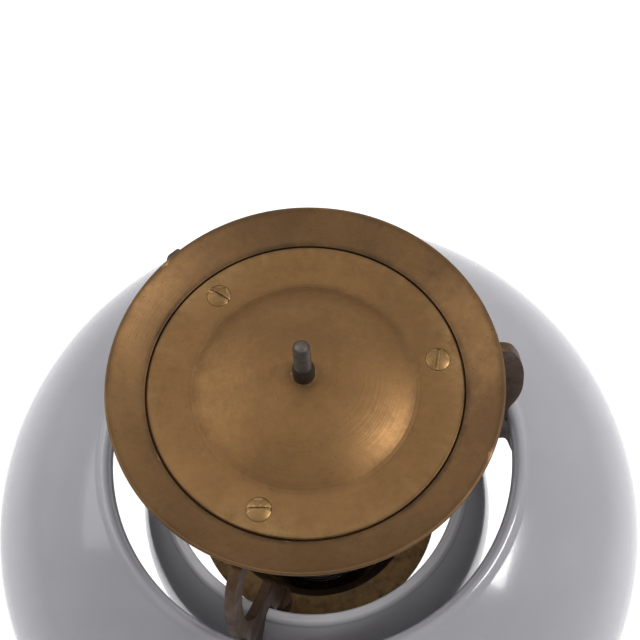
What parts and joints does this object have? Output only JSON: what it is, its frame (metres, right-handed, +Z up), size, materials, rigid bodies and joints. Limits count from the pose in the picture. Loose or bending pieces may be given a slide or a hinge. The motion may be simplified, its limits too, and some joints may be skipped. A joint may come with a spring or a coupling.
{
  "type": "table lamp",
  "caption": "Table lamp: nested opal glasses under a dished brass cap on bowed arms, over a slim brass stem and a round weighted foot with a rotary switch.",
  "frame": {"origin": "centre of the foot's underside, on the lamp's axis", "axes": "+Z up along the lamp's axis; -Y towards the side of the foot with the switch; +Y towards the cord inlet; +X towards one of the three arms"},
  "size_m": [0.2434, 0.2434, 0.4864],
  "materials": {
    "cap_brass": "spun, aged brown with bright rubbed edge",
    "plate_brass": "spun and pressed, aged brown",
    "screw_brass": "turned, aged",
    "stud_steel": "threaded, tarnished",
    "arm_brass": "cast, dark patina",
    "opal_glass": "white opal, fire-polished, translucent",
    "gallery_brass": "spun, dark patina",
    "bakelite": "moulded phenolic, dark brown",
    "porcelain": "glazed white",
    "contact_brass": "plain rolled",
    "clear_glass": "clear",
    "bulb_metal": "rolled",
    "filament": "drawn tungsten wire",
    "steel": "zinc plated, dulled",
    "stem_brass": "spun and drawn, aged",
    "iron": "as cast, painted dark",
    "fibre": "pressed fibre board",
    "felt": "pressed wool felt",
    "wire": "insulated wire"
  },
  "bodies": {
    "lamp": {"cap_ring": "cap_brass", "cover_plate": "plate_brass", "cover_screws": "screw_brass", "top_stud": "stud_steel", "stud_nut": "stud_steel", "bracket_right": "arm_brass", "bracket_rear": "arm_brass", "bracket_front": "arm_brass", "outer_glass": "opal_glass", "inner_glass": "opal_glass", "glass_claws": "gallery_brass", "gallery_cup": "gallery_brass", "gallery_screws": "screw_brass", "holder_base": "bakelite", "holder_shell": "bakelite", "holder_insert": "porcelain", "holder_thread": "contact_brass", "holder_contact": "contact_brass", "bulb_glass": "clear_glass", "bulb_cap": "bulb_metal", "bulb_mount": "clear_glass", "bulb_filament": "filament", "cup_nut": "steel", "top_collar": "stem_brass", "stem_tube": "stem_brass", "stem_pipe": "steel", "foot_collar": "stem_brass", "foot_shell": "stem_brass", "foot_weight": "iron", "foot_nut": "steel", "foot_washer": "steel", "foot_cover": "fibre", "cover_feet_screws": "steel", "felt_pad": "felt", "inlet_bush": "bakelite", "inlet_clip": "steel", "terminal_block": "porcelain", "terminal_screws": "contact_brass", "lamp_leads": "wire", "switch_lead": "wire", "switch_body": "bakelite", "switch_bush_nut": "contact_brass"},
    "turn_knob": {"switch_spindle": "steel", "switch_knob": "bakelite", "knob_screw": "steel"}
  },
  "joints": [
    {"name": "knob_turn", "type": "hinge", "parent": "lamp", "child": "turn_knob", "pos_m": [0, -0.042, 0.03], "axis": [0, 0, 1], "continuous": true}
  ]
}
